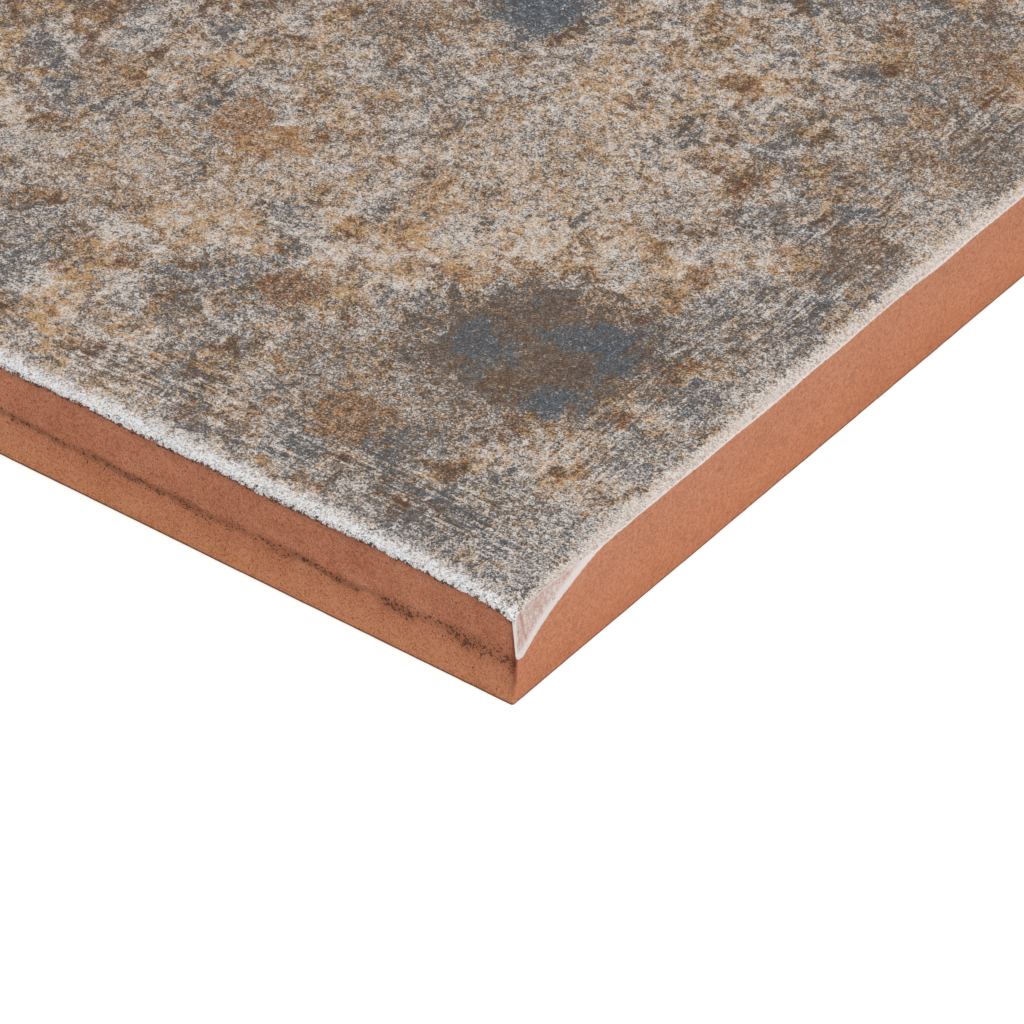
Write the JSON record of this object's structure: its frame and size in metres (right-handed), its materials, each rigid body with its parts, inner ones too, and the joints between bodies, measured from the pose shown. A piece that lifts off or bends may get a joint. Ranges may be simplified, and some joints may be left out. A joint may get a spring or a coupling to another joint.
{
  "type": "ceramic subway tile",
  "caption": "Rectangular red-body wall tile, flat glazed face with wavy rolled edges, tapered pressed ends and a keyed back for adhesive.",
  "frame": {"origin": "centre of the back, on the plane that the ribs of the back lie in", "axes": "+X along the long side, +Y along the short side, +Z out of the glazed face"},
  "size_m": [0.3, 0.1, 0.007],
  "materials": {
    "glazed_face": "matte",
    "clay_body": "matte"
  },
  "bodies": {
    "root": {"tile": "glazed_face"}
  },
  "joints": []
}
